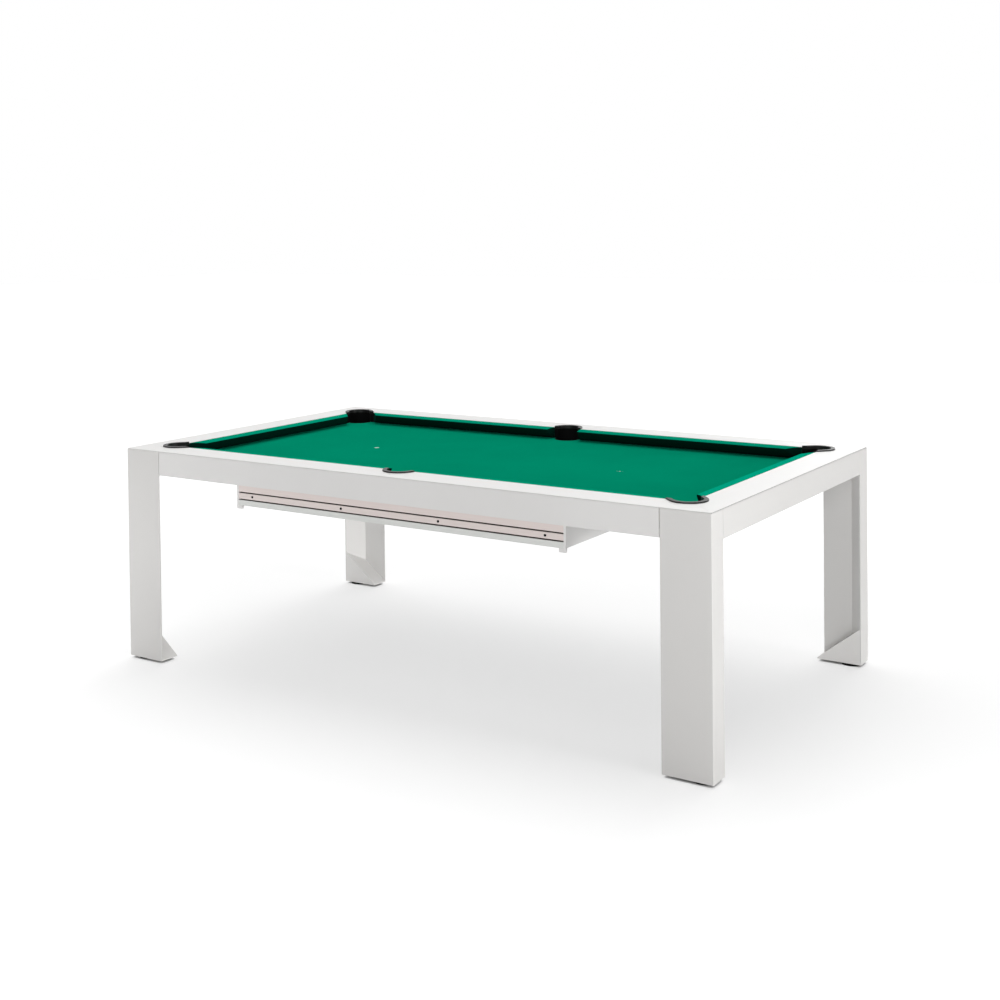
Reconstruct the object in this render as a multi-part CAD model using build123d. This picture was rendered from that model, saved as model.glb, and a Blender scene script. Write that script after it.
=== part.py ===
"""Pool table for a living room: a thin white steel table with angle legs, slate bed and drop pockets.

Millimetres. X runs along the table, Y across it and Z up. The origin is on the floor, under the
middle of the table. The front is -Y, where the accessory drawer opens.
"""
from build123d import *
import math
import os

os.makedirs("parts", exist_ok=True)

# ---------------------------------------------------------------- overall sizes
table_length = 2290.0
table_width = 1300.0
table_height = 760.0
apron_height = 86.0
apron_wall = 3.0
apron_lip_width = 40.0
apron_lip_wall = 2.5
side_seam = 2.0
end_seam = 1.5

# ---------------------------------------------------------------- legs
leg_side_width = 158.0
leg_end_width = 75.0
leg_wall = 4.0
leg_edge_radius = 2.0
leg_web_wall = 3.0
leg_web_reach = 55.0
leg_head_wall = 5.0
leg_head_margin = 5.0
wedge_height = 128.0
wedge_tip = 4.0
wedge_wall = 3.0
wedge_base = 5.0
floor_gap = 9.0

# ---------------------------------------------------------------- levelling feet
pad_radius = 32.0
pad_height = 7.0
pad_edge = 1.0
stem_radius = 5.0
stem_length = 34.0
stem_clearance = 0.05
foot_nut_radius = 9.0
foot_nut_height = 8.0
foot_inset = 47.0
foot_side_inset = 42.5

# ---------------------------------------------------------------- steel frame
beam_width = 40.0
beam_wall = 2.5
cross_beam_width = 50.0

# ---------------------------------------------------------------- bed
bed_drop = 41.5
slate_thickness = 19.0
cloth_thickness = 0.8
skin_clearance = 1.0
spot_thickness = 0.3
spot_from_nose = 475.0
head_spot_radius = 9.0
foot_spot_radius = 3.5
foot_mark_radius = 1.5
foot_mark_offset = 11.0

# ---------------------------------------------------------------- rails and cushions
rail_width = 113.0
cap_thickness = 3.0
cap_edge_radius = 0.8
reveal_height = 1.6
reveal_depth = 2.2
mitre_gap = 0.8
cushion_width = 42.0
cushion_step = 1.0
nose_drop = 4.0
nose_height = 6.0
nose_radius = 2.5
cushion_base_width = 9.0
cushion_lift = 2.0
facing_gap = 0.5
side_facing_angle = 10.0

# ---------------------------------------------------------------- pockets
pocket_radius = 58.0
ring_width = 14.0
ring_proud = 4.5
ring_sink = 8.0
ring_edge_radius = 1.4
corner_pocket_inset = 130.0
side_pocket_inset = 114.0
pocket_clearance = 0.3
cup_radius = 47.0
cup_wall = 3.0
cup_floor = 3.0
cup_depth = 104.0
bed_hole_clearance = 1.0

# ---------------------------------------------------------------- drawer
drawer_half_width = 648.0
drawer_depth = 482.0
drawer_drop = 80.0
drawer_front_height = 70.0
drawer_cup_gap = 1.0
drawer_cup_headroom = 10.0
strip_thickness = 8.0
groove_height = 4.5
lower_groove_rise = 21.0
upper_groove_rise = 45.0
backing_thickness = 7.0
drawer_wall = 12.0
drawer_bottom_thickness = 5.0
drawer_bottom_lift = 1.0
liner_thickness = 1.5
liner_clearance = 0.4
pull_thickness = 8.0
pull_gap = 0.2
pull_foot_width = 24.0
pull_foot_height = 12.0
pull_depth = 8.0
pull_edge_radius = 2.0
screw_margin = 63.0
screw_head_radius = 4.0
screw_head_height = 1.5
screw_radius = 2.0
screw_clearance = 0.1
screw_bite = 6.0

# ---------------------------------------------------------------- drawer runners and hangers
hanger_wall = 2.0
hanger_gap = 16.0
hanger_rise = 1.0
hanger_flange = 40.0
hanger_clearance = 0.5
runner_rise = 12.0
runner_height = 40.0
runner_wall = 2.0
runner_play = 0.4
runner_web_gap = 1.0
runner_lip = 8.0
runner_setback = 22.0
runner_end_gap = 10.0

# ---------------------------------------------------------------- bolts
bolt_radius = 4.0
bolt_length = 17.0
bolt_head_radius = 6.5
bolt_head_height = 5.0
bolt_clearance = 0.2
rail_bolt_inset = 75.0
rail_bolt_bite = 20.0
hanger_bolt_pitch = 200.0

# ---------------------------------------------------------------- worked out from the sizes above
half_length = table_length / 2
half_width = table_width / 2
apron_low = table_height - apron_height
cap_low = table_height - cap_thickness
cloth_top = table_height - bed_drop
slate_top = cloth_top - cloth_thickness
slate_low = slate_top - slate_thickness
beam_low = apron_low + apron_lip_wall
beam_height = slate_low - beam_low
core_inset = leg_wall + skin_clearance
beam_inset = leg_wall + beam_width
cup_low = table_height - cup_depth
cup_outer_radius = cup_radius + cup_wall
spot_x = half_length - rail_width - cushion_width - spot_from_nose
drawer_low = apron_low - drawer_drop
strip_high = drawer_low + drawer_front_height
lower_groove_z = drawer_low + lower_groove_rise
upper_groove_z = drawer_low + upper_groove_rise
box_y = -half_width + side_pocket_inset - cup_outer_radius - drawer_cup_gap
backing_y = box_y - backing_thickness
drawer_face_y = backing_y - strip_thickness
drawer_back_y = drawer_face_y + drawer_depth
bottom_low = drawer_low + drawer_bottom_lift
wall_low = bottom_low + drawer_bottom_thickness
wall_high = cup_low - drawer_cup_headroom
screw_spacing = 2 * (drawer_half_width - screw_margin) / 3
hanger_x = drawer_half_width + pull_thickness - hanger_wall
hanger_y = drawer_face_y + pull_depth + hanger_clearance
hanger_low = drawer_low + hanger_rise
box_half_width = hanger_x - hanger_gap
cross_beam_x = hanger_x + cross_beam_width / 2
runner_y = drawer_face_y + runner_setback
runner_length = drawer_depth - runner_setback - runner_end_gap
runner_low = drawer_low + runner_rise
bolt_hole_radius = bolt_radius + bolt_clearance
leg_bolt_points = (
    (half_length - leg_side_width * 0.6, half_width - leg_wall - beam_width / 2),
    (half_length - leg_wall - beam_width / 2, half_width - beam_inset - (leg_end_width - beam_inset) / 2),
)
hanger_bolt_x = cross_beam_x
hanger_mid_y = hanger_y + drawer_depth / 2
corners = (
    ("front_left", -1, -1),
    ("front_right", 1, -1),
    ("rear_right", 1, 1),
    ("rear_left", -1, 1),
)
corner_x = half_length - corner_pocket_inset
corner_y = half_width - corner_pocket_inset
side_y = half_width - side_pocket_inset
pockets = (
    ("front_left", -corner_x, -corner_y, 45),
    ("front_right", corner_x, -corner_y, 135),
    ("rear_right", corner_x, corner_y, 225),
    ("rear_left", -corner_x, corner_y, 315),
    ("side_front", 0.0, -side_y, 90),
    ("side_rear", 0.0, side_y, 270),
)


# ---------------------------------------------------------------- helpers
def block(x0, x1, y0, y1, z0, z1):
    """A box between two corners."""
    box = Box(x1 - x0, y1 - y0, z1 - z0, align=(Align.MIN, Align.MIN, Align.MIN))
    return Pos(x0, y0, z0) * box


def rod(x, y, z0, z1, radius):
    """An upright cylinder between two heights."""
    cylinder = Cylinder(radius, z1 - z0, align=(Align.CENTER, Align.CENTER, Align.MIN))
    return Pos(x, y, z0) * cylinder


def prism(points, z0, z1):
    """An upright prism on a plan outline."""
    face = make_face(Polyline(*points, close=True).edges())
    return Pos(0, 0, z0) * extrude(face, z1 - z0, dir=(0, 0, 1))


def side_prism(points, y0, y1):
    """A level prism along Y, on an outline of X and Z pairs."""
    face = make_face(Polyline(*[(x, y0, z) for x, z in points], close=True).edges())
    return extrude(face, y1 - y0, dir=(0, 1, 0))


def quarter(shape, side_x, side_y):
    """Mirrors a shape modelled in the +X +Y quarter into the quarter with these signs."""
    if side_x < 0:
        shape = mirror(shape, about=Plane.YZ)
    if side_y < 0:
        shape = mirror(shape, about=Plane.XZ)
    return shape


def save(name, *solids):
    """Writes one named sub-part, as one solid or as a group of separate solids."""
    pieces = [solid for shape in solids for solid in shape.solids()]
    shape = pieces[0] if len(pieces) == 1 else Compound(children=pieces)
    export_step(shape, f"parts/{name}.step")


def sawn(shape, *cuts):
    """Cuts a long shape across at these X positions, into lengths that butt together."""
    limits = (-half_length, *cuts, half_length)
    return [
        shape & block(x0, x1, -half_width, half_width, 0, table_height)
        for x0, x1 in zip(limits, limits[1:])
    ]


def upright_edges(shape, x, y):
    """The upright edges of a shape at one plan position."""
    return [
        edge
        for edge in shape.edges().filter_by(Axis.Z)
        if abs(edge.center().X - x) < 0.01 and abs(edge.center().Y - y) < 0.01
    ]


# ---------------------------------------------------------------- pocket shapes
def pocket_slot(x, y, heading, radius, z0, z1):
    """A slot with one round end at a pocket's centre, running out over the bed along its heading."""
    reach = 2 * (rail_width + pocket_radius)
    run = block(0, reach, -radius, radius, 0, z1 - z0)
    return Pos(x, y, z0) * Rot(0, 0, heading) * (rod(0, 0, 0, z1 - z0, radius) + run)


def over_bed(z0, z1):
    """The box over the bed, out to the rails' inner edges."""
    x = half_length - rail_width
    y = half_width - rail_width
    return block(-x, x, -y, y, z0, z1)


def pocket_collar(pocket, outer, inner, z0, z1):
    """A U-shaped collar round a pocket, open towards the bed."""
    name, x, y, heading = pocket
    collar = pocket_slot(x, y, heading, outer, z0, z1) - pocket_slot(x, y, heading, inner, z0, z1)
    return collar - over_bed(z0, z1)


def cut_pockets(shape, z0, z1):
    """Takes the slots that the pocket mouldings stand in out of a rail piece."""
    for name, x, y, heading in pockets:
        shape -= pocket_slot(x, y, heading, pocket_radius + pocket_clearance, z0, z1)
    return shape


def drill_bed(shape, z0, z1, radius):
    """Takes the round pocket holes out of a bed piece."""
    for name, x, y, heading in pockets:
        shape -= rod(x, y, z0, z1, radius)
    return shape


def pocket_ring(pocket):
    """The rubber ring round a pocket's mouth, standing a little above the rail."""
    low = table_height - ring_sink
    high = table_height + ring_proud
    ring = pocket_collar(pocket, pocket_radius, pocket_radius - ring_width, low, high)
    rim = ring.faces().sort_by(Axis.Z)[-1].edges()
    return fillet(rim, ring_edge_radius)


def pocket_cup(pocket):
    """The moulded pocket: a collar on the bed that carries the ring, and a cup through the slate."""
    name, x, y, heading = pocket
    collar = pocket_collar(pocket, pocket_radius, cup_radius, cloth_top, table_height - ring_sink)
    cup = rod(x, y, cup_low, cloth_top, cup_outer_radius)
    cup -= rod(x, y, cup_low + cup_floor, cloth_top, cup_radius)
    return collar + cup


# ---------------------------------------------------------------- legs
def leg_shell():
    """The two outer plates of a leg, joined along the table's corner."""
    inner_x = half_length - leg_side_width
    inner_y = half_width - leg_end_width
    outer = block(inner_x, half_length, inner_y, half_width, floor_gap, cap_low)
    inside = block(inner_x, half_length - leg_wall, inner_y, half_width - leg_wall, floor_gap, cap_low)
    shell = outer - inside
    return fillet(upright_edges(shell, half_length, half_width), leg_edge_radius)


def leg_gusset():
    """The inner half of a leg: a slanting web, the wedge foot, its nut and the head plate."""
    base_z = floor_gap
    inner_end = half_length - leg_wall
    inner_side = half_width - leg_wall
    free_end_y = half_width - leg_end_width
    web_x = half_length - leg_web_reach

    run_x = inner_end - web_x
    run_y = inner_side - free_end_y
    web_length = math.hypot(run_x, run_y)
    web = prism(
        (
            (inner_end, free_end_y),
            (web_x, inner_side),
            (web_x + leg_web_wall * web_length / run_y, inner_side),
            (inner_end, free_end_y + leg_web_wall * web_length / run_x),
        ),
        base_z,
        beam_low,
    )

    tip_x = half_length - leg_side_width
    slope = (wedge_height - wedge_tip) / leg_side_width
    heel_z = base_z + wedge_tip + slope * (leg_side_width - leg_wall)
    wedge = side_prism(
        (
            (tip_x, base_z),
            (inner_end, base_z),
            (inner_end, heel_z),
            (tip_x, base_z + wedge_tip),
        ),
        free_end_y,
        inner_side,
    )
    cavity_low = base_z + wedge_base
    cavity_high = heel_z - wedge_wall * math.hypot(1, slope)
    cavity = side_prism(
        (
            (inner_end, cavity_low),
            (inner_end, cavity_high),
            (inner_end - (cavity_high - cavity_low) / slope, cavity_low),
        ),
        free_end_y + wedge_wall,
        inner_side,
    )

    foot_x = half_length - foot_inset
    foot_y = half_width - foot_side_inset
    nut = rod(foot_x, foot_y, cavity_low, cavity_low + foot_nut_height, foot_nut_radius)
    head = block(
        tip_x + leg_head_margin,
        inner_end,
        free_end_y + leg_head_margin,
        inner_side,
        beam_low - leg_head_wall,
        beam_low,
    )
    gusset = wedge - cavity + web + nut + head
    gusset -= rod(foot_x, foot_y, base_z, base_z + stem_length, stem_radius + stem_clearance)
    for x, y in leg_bolt_points:
        gusset -= rod(x, y, beam_low - leg_head_wall, beam_low, bolt_hole_radius)
    return gusset


def levelling_foot():
    """A screw-in foot: a round pad on a threaded stem."""
    x = half_length - foot_inset
    y = half_width - foot_side_inset
    pad = rod(x, y, 0, pad_height, pad_radius)
    pad = chamfer(pad.edges().group_by(Axis.Z)[-1], pad_edge)
    return pad + rod(x, y, pad_height, pad_height + stem_length, stem_radius)


# ---------------------------------------------------------------- aprons
def side_apron():
    """The long rear apron: a face plate, and a strip welded along its foot, under the frame beam."""
    reach = half_length - leg_side_width - side_seam
    sheet = block(-reach, reach, half_width - apron_wall, half_width, apron_low, cap_low)
    lip_edge = half_width - leg_wall - apron_lip_width
    lip = block(-reach, reach, lip_edge, half_width - apron_wall, apron_low, apron_low + apron_lip_wall)
    return sheet, lip


def end_apron():
    """The right-hand end apron, made in the same way."""
    reach = half_width - leg_end_width - end_seam
    sheet = block(half_length - apron_wall, half_length, -reach, reach, apron_low, cap_low)
    lip_edge = half_length - leg_wall - apron_lip_width
    lip = block(lip_edge, half_length - apron_wall, -reach, reach, apron_low, apron_low + apron_lip_wall)
    return sheet, lip


# ---------------------------------------------------------------- frame
def tube(x0, x1, y0, y1, along):
    """A rectangular steel tube under the slate, hollow along X or along Y."""
    outer = block(x0, x1, y0, y1, beam_low, slate_low)
    low = beam_low + beam_wall
    high = slate_low - beam_wall
    if along == "x":
        return outer - block(x0, x1, y0 + beam_wall, y1 - beam_wall, low, high)
    return outer - block(x0 + beam_wall, x1 - beam_wall, y0, y1, low, high)


def side_beam():
    """The long rear beam, drilled for the leg bolts."""
    reach = half_length - leg_wall
    beam = tube(-reach, reach, half_width - beam_inset, half_width - leg_wall, "x")
    x, y = leg_bolt_points[0]
    for side in (-1, 1):
        beam -= rod(side * x, y, beam_low, beam_low + beam_wall, bolt_hole_radius)
    return beam


def end_beam():
    """The right-hand beam between the two long beams, drilled for the leg bolts."""
    reach = half_width - beam_inset
    beam = tube(half_length - beam_inset, half_length - leg_wall, -reach, reach, "y")
    x, y = leg_bolt_points[1]
    for side in (-1, 1):
        beam -= rod(x, side * y, beam_low, beam_low + beam_wall, bolt_hole_radius)
    return beam


def hanger_bolt_ys():
    """Where the hangers are bolted to the outer cross beams."""
    return [hanger_mid_y + step * hanger_bolt_pitch for step in (-1, 0, 1)]


def cross_beam(x):
    """A beam across the table; the outer ones are drilled for the drawer hangers."""
    reach = half_width - beam_inset
    beam = tube(x - cross_beam_width / 2, x + cross_beam_width / 2, -reach, reach, "y")
    if abs(x) == cross_beam_x:
        for y in hanger_bolt_ys():
            beam -= rod(x, y, beam_low, beam_low + beam_wall, bolt_hole_radius)
    return beam


def bolt(x, y, seat_z, length):
    """A bolt put in from below, with its head against a seat."""
    head = rod(x, y, seat_z - bolt_head_height, seat_z, bolt_head_radius)
    return head + rod(x, y, seat_z, seat_z + length, bolt_radius)


# ---------------------------------------------------------------- bed
def bed_outline(z0, z1):
    """The bed's full rectangle, just inside the steel skins."""
    x = half_length - core_inset
    y = half_width - core_inset
    return block(-x, x, -y, y, z0, z1)


def rail_bolt_points():
    """Plan positions of the bolts that hold the rails down on the slate."""
    side_row = half_width - rail_bolt_inset
    end_row = half_length - rail_bolt_inset
    points = [
        (sx * share * corner_x, sy * side_row)
        for share in (0.4, 0.8)
        for sx in (-1, 1)
        for sy in (-1, 1)
    ]
    points += [(sx * end_row, sy * 0.4 * corner_y) for sx in (-1, 1) for sy in (-1, 1)]
    return points


def drill_rail_bolts(shape, z0, z1):
    """Takes the rail bolts' holes out of a piece."""
    for x, y in rail_bolt_points():
        shape -= rod(x, y, z0, z1, bolt_hole_radius)
    return shape


def bed_piece(z0, z1):
    """One full layer of the bed, with its pocket holes and bolt holes."""
    hole = cup_outer_radius + bed_hole_clearance
    layer = drill_bed(bed_outline(z0, z1), z0, z1, hole)
    return drill_rail_bolts(layer, z0, z1)


def table_spots():
    """The stick-on spots on the cloth: a round head spot, and a foot spot between two small dots."""
    top = cloth_top + spot_thickness
    spots = [rod(-spot_x, 0, cloth_top, top, head_spot_radius)]
    spots.append(rod(spot_x, 0, cloth_top, top, foot_spot_radius))
    for side in (-1, 1):
        spots.append(rod(spot_x + side * foot_mark_offset, 0, cloth_top, top, foot_mark_radius))
    return spots


# ---------------------------------------------------------------- rails
def mitred(outer_inset, inner_inset, z0, z1, long_side):
    """A board along the rear side or the right-hand end, mitred where it meets its neighbours."""
    shave = mitre_gap / math.sqrt(2)
    if long_side:
        points = (
            (-half_length + outer_inset + shave, half_width - outer_inset),
            (half_length - outer_inset - shave, half_width - outer_inset),
            (half_length - inner_inset - shave, half_width - inner_inset),
            (-half_length + inner_inset + shave, half_width - inner_inset),
        )
    else:
        points = (
            (half_length - outer_inset, -half_width + outer_inset + shave),
            (half_length - outer_inset, half_width - outer_inset - shave),
            (half_length - inner_inset, half_width - inner_inset - shave),
            (half_length - inner_inset, -half_width + inner_inset + shave),
        )
    return prism(points, z0, z1)


def rail_cap(long_side):
    """A white top board, with a shadow line under its outer edge."""
    cap = mitred(0, rail_width, cap_low, table_height, long_side)
    if long_side:
        rebate = block(-half_length, half_length, half_width - reveal_depth, half_width,
                       cap_low, cap_low + reveal_height)
        edge = cap.edges().filter_by(Axis.X).group_by(Axis.Y)[-1].sort_by(Axis.Z)[-1]
    else:
        rebate = block(half_length - reveal_depth, half_length, -half_width, half_width,
                       cap_low, cap_low + reveal_height)
        edge = cap.edges().filter_by(Axis.Y).group_by(Axis.X)[-1].sort_by(Axis.Z)[-1]
    cap = fillet(edge, cap_edge_radius) - rebate
    return cut_pockets(cap, cap_low, table_height)


def rail_core(long_side):
    """The wooden rail under a top board; the cushions are glued to its inner face."""
    core = mitred(core_inset, rail_width, cloth_top, cap_low, long_side)
    core = cut_pockets(core, cloth_top, cap_low)
    return drill_rail_bolts(core, cloth_top, cloth_top + rail_bolt_bite)


def cushion_section():
    """The cushion's section: its distance from the table's edge, and its height."""
    nose_y = rail_width + cushion_width
    nose_top = table_height - nose_drop
    foot_z = cloth_top + cushion_lift
    return (
        (rail_width, table_height - cushion_step),
        (nose_y, nose_top),
        (nose_y - nose_radius / 2, nose_top - nose_height),
        (rail_width + cushion_base_width, foot_z),
        (rail_width, foot_z),
    )


def cushion_bar(along_x, reach):
    """A straight bar with the cushion's section, along the rear side or the right-hand end."""
    if along_x:
        points = [(-reach, half_width - inset, z) for inset, z in cushion_section()]
    else:
        points = [(half_length - inset, -reach, z) for inset, z in cushion_section()]
    direction = (1, 0, 0) if along_x else (0, 1, 0)
    bar = extrude(make_face(Polyline(*points, close=True).edges()), 2 * reach, dir=direction)
    run = Axis.X if along_x else Axis.Y
    across = Axis.Y if along_x else Axis.X
    nose_edges = bar.edges().filter_by(run).sort_by(across)[:2]
    return fillet(nose_edges, nose_radius)


def side_cushion():
    """The rear cushion on the right of the side pocket."""
    nose = rail_width + cushion_width
    overrun = 1.0
    corner_offset = math.sqrt(2) * (pocket_radius + facing_gap)
    side_start = pocket_radius + facing_gap
    flare = math.tan(math.radians(side_facing_angle))
    plan = prism(
        (
            (side_start, half_width - rail_width),
            (half_length - rail_width - corner_offset, half_width - rail_width),
            (half_length - nose - overrun - corner_offset, half_width - nose - overrun),
            (side_start + flare * (cushion_width + overrun), half_width - nose - overrun),
        ),
        cloth_top,
        table_height,
    )
    return cushion_bar(True, half_length) & plan


def end_cushion():
    """The right-hand cushion between its two corner pockets."""
    nose = rail_width + cushion_width
    overrun = 1.0
    corner_offset = math.sqrt(2) * (pocket_radius + facing_gap)
    back_y = half_width - rail_width - corner_offset
    nose_y = half_width - nose - overrun - corner_offset
    plan = prism(
        (
            (half_length - rail_width, -back_y),
            (half_length - rail_width, back_y),
            (half_length - nose - overrun, nose_y),
            (half_length - nose - overrun, -nose_y),
        ),
        cloth_top,
        table_height,
    )
    return cushion_bar(False, half_width) & plan


# ---------------------------------------------------------------- drawer
def front_strip(z0, z1):
    """One of the three level strips of the drawer's front."""
    return block(-drawer_half_width, drawer_half_width, drawer_face_y, backing_y, z0, z1)


def screw_points():
    """Where the middle strip is screwed to the backing board."""
    z = (lower_groove_z + upper_groove_z) / 2
    return [((step - 1.5) * screw_spacing, z) for step in range(4)]


def level_rod(x, z, y0, y1, radius):
    """A cylinder that runs along Y."""
    cylinder = Cylinder(radius, y1 - y0, align=(Align.CENTER, Align.CENTER, Align.MIN))
    return Pos(x, y0, z) * Rot(-90, 0, 0) * cylinder


def drill_screws(shape):
    """Takes the front screws' holes out of a piece of the drawer's front."""
    for x, z in screw_points():
        end_y = backing_y + screw_bite
        shape -= level_rod(x, z, drawer_face_y, end_y, screw_radius + screw_clearance)
    return shape


def front_screw(x, z):
    """A flat-headed screw in the middle strip."""
    head = level_rod(x, z, drawer_face_y - screw_head_height, drawer_face_y, screw_head_radius)
    return head + level_rod(x, z, drawer_face_y, backing_y + screw_bite, screw_radius)


def drawer_pull():
    """The right-hand end piece of the front, turned in at the bottom as a lip to pull by."""
    inner = drawer_half_width + pull_gap
    outer = drawer_half_width + pull_thickness
    back_y = drawer_face_y + pull_depth
    foot_top = drawer_low - pull_gap
    foot_low = foot_top - pull_foot_height
    upright = block(inner, outer, drawer_face_y, back_y, foot_low, strip_high)
    foot = block(outer - pull_foot_width, outer, drawer_face_y, back_y, foot_low, foot_top)
    pull = upright + foot
    bottom = pull.edges().filter_by(Axis.Y).group_by(Axis.Z)[0]
    return fillet(bottom, pull_edge_radius)


def drawer_walls():
    """The drawer's two sides and its back."""
    inner = box_half_width - drawer_wall
    side = block(inner, box_half_width, box_y, drawer_back_y, wall_low, wall_high)
    back = block(-inner, inner, drawer_back_y - drawer_wall, drawer_back_y, wall_low, wall_high)
    return side, mirror(side, about=Plane.YZ), back


def channel(web_x, web_wall, lip_x, low, high, y0, y1):
    """A runner member: an upright web with a lip at the top and bottom, reaching to lip_x."""
    left, right = sorted((web_x, lip_x))
    outer = block(left, right, y0, y1, low, high)
    if lip_x < web_x:
        hollow = block(left, right - web_wall, y0, y1, low + runner_wall, high - runner_wall)
    else:
        hollow = block(left + web_wall, right, y0, y1, low + runner_wall, high - runner_wall)
    return outer - hollow


def runner_member(step):
    """One of the three nested right-hand runner members, from the hanger (0) to the drawer (2)."""
    y0 = runner_y
    y1 = y0 + runner_length
    shrink = step * (runner_wall + runner_play)
    low = runner_low + shrink
    high = runner_low + runner_height - shrink
    if step < 2:
        web_x = hanger_x - step * (runner_wall + runner_web_gap)
        return channel(web_x, runner_wall, web_x - runner_wall - runner_lip, low, high, y0, y1)
    lip_x = hanger_x - step * (runner_wall + runner_web_gap) - runner_web_gap
    return channel(box_half_width, runner_wall, lip_x, low, high, y0, y1)


def drawer_hanger():
    """The right-hand plate that hangs from the frame and carries a runner."""
    y0 = hanger_y
    y1 = y0 + drawer_depth
    plate = block(hanger_x, hanger_x + hanger_wall, y0, y1, hanger_low, beam_low)
    flange = block(hanger_x, hanger_x + hanger_flange, y0, y1, beam_low - hanger_wall, beam_low)
    hanger = plate + flange
    for y in hanger_bolt_ys():
        hanger -= rod(hanger_bolt_x, y, beam_low - hanger_wall, beam_low, bolt_hole_radius)
    return hanger


# ---------------------------------------------------------------- write every sub-part
for corner, side_x, side_y_sign in corners:
    save(f"leg_shell_{corner}", quarter(leg_shell(), side_x, side_y_sign))
    save(f"leg_gusset_{corner}", quarter(leg_gusset(), side_x, side_y_sign))
    save(f"levelling_foot_{corner}", quarter(levelling_foot(), side_x, side_y_sign))

for place, sign in (("front", -1), ("rear", 1)):
    save(f"apron_{place}", *[quarter(plate, 1, sign) for plate in side_apron()])
    save(f"frame_beam_{place}", quarter(side_beam(), 1, sign))
    save(f"rail_cap_{place}", *[quarter(length, 1, sign) for length in sawn(rail_cap(True), 0)])
    save(f"rail_core_{place}", *[quarter(length, 1, sign) for length in sawn(rail_core(True), 0)])
    for hand, side_x in (("left", -1), ("right", 1)):
        save(f"cushion_{place}_{hand}", quarter(side_cushion(), side_x, sign))

for hand, sign in (("left", -1), ("right", 1)):
    save(f"apron_{hand}", *[quarter(plate, sign, 1) for plate in end_apron()])
    save(f"frame_beam_{hand}", quarter(end_beam(), sign, 1))
    save(f"rail_cap_{hand}", quarter(rail_cap(False), sign, 1))
    save(f"rail_core_{hand}", quarter(rail_core(False), sign, 1))
    save(f"cushion_{hand}", quarter(end_cushion(), sign, 1))

cross_beam_xs = (-cross_beam_x, -cross_beam_x / 3, cross_beam_x / 3, cross_beam_x)
save("frame_cross_beams", *[cross_beam(x) for x in cross_beam_xs])
slate_seam_x = cross_beam_x / 3
save("slate_bed", *sawn(bed_piece(slate_low, slate_top), -slate_seam_x, slate_seam_x))
save("bed_cloth", bed_piece(slate_top, cloth_top))
save("table_spots", *table_spots())

for pocket in pockets:
    save(f"pocket_ring_{pocket[0]}", pocket_ring(pocket))
save("corner_pocket_cups", *[pocket_cup(pocket) for pocket in pockets[:4]])
save("side_pocket_cups", *[pocket_cup(pocket) for pocket in pockets[4:]])

frame_bolts = [
    quarter(bolt(x, y, beam_low - leg_head_wall, bolt_length), side_x, side_y_sign)
    for x, y in leg_bolt_points
    for corner, side_x, side_y_sign in corners
]
frame_bolts += [
    bolt(side * hanger_bolt_x, y, beam_low - hanger_wall, bolt_length)
    for side in (-1, 1)
    for y in hanger_bolt_ys()
]
save("frame_bolts", *frame_bolts)
rail_bolt_length = slate_thickness + cloth_thickness + rail_bolt_bite
save("rail_bolts", *[bolt(x, y, slate_low, rail_bolt_length) for x, y in rail_bolt_points()])

middle_low = lower_groove_z + groove_height / 2
middle_high = upper_groove_z - groove_height / 2
save("drawer_backing", drill_screws(block(
    -drawer_half_width, drawer_half_width, backing_y, box_y, drawer_low, strip_high)))
save("drawer_front_strips",
     drill_screws(front_strip(middle_low, middle_high)),
     front_strip(upper_groove_z + groove_height / 2, strip_high))
save("drawer_front_sill", front_strip(drawer_low, lower_groove_z - groove_height / 2))
save("drawer_front_screws", *[front_screw(x, z) for x, z in screw_points()])
save("drawer_pulls", drawer_pull(), mirror(drawer_pull(), about=Plane.YZ))
save("drawer_walls", *drawer_walls())
save("drawer_bottom", block(
    -box_half_width, box_half_width, box_y, drawer_back_y, bottom_low, wall_low))
liner_x = box_half_width - drawer_wall - liner_clearance
save("drawer_liner", block(
    -liner_x, liner_x, box_y + liner_clearance, drawer_back_y - drawer_wall - liner_clearance,
    wall_low, wall_low + liner_thickness))

for name, step in (("runner_fixed", 0), ("runner_middle", 1), ("runner_drawer", 2)):
    member = runner_member(step)
    save(name, member, mirror(member, about=Plane.YZ))
save("drawer_hangers", drawer_hanger(), mirror(drawer_hanger(), about=Plane.YZ))
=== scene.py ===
"""Looks for the pool table: white powder-coated steel, green billiard cloth and black drop pockets.

Metres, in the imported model's own frame: X along the table, Y across it, Z up, and the front at -Y.
"""

import math

import bmesh
import bpy
from mathutils import Matrix, Vector
from mathutils.geometry import delaunay_2d_cdt


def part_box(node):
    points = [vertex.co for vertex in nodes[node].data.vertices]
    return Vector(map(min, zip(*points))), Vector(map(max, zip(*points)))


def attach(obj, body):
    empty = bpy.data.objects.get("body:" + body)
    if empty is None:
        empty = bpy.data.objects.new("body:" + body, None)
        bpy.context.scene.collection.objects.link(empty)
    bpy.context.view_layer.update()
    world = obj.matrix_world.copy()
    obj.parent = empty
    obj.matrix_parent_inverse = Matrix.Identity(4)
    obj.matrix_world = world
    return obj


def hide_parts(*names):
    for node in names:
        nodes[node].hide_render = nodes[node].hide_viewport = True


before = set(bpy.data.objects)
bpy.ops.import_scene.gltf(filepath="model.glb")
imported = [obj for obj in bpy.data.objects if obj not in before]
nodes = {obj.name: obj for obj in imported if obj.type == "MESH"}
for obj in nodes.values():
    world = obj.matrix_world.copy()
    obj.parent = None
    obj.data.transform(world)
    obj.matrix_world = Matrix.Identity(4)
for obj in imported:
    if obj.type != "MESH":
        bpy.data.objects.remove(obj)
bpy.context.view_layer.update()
scene = bpy.context.scene

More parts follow.
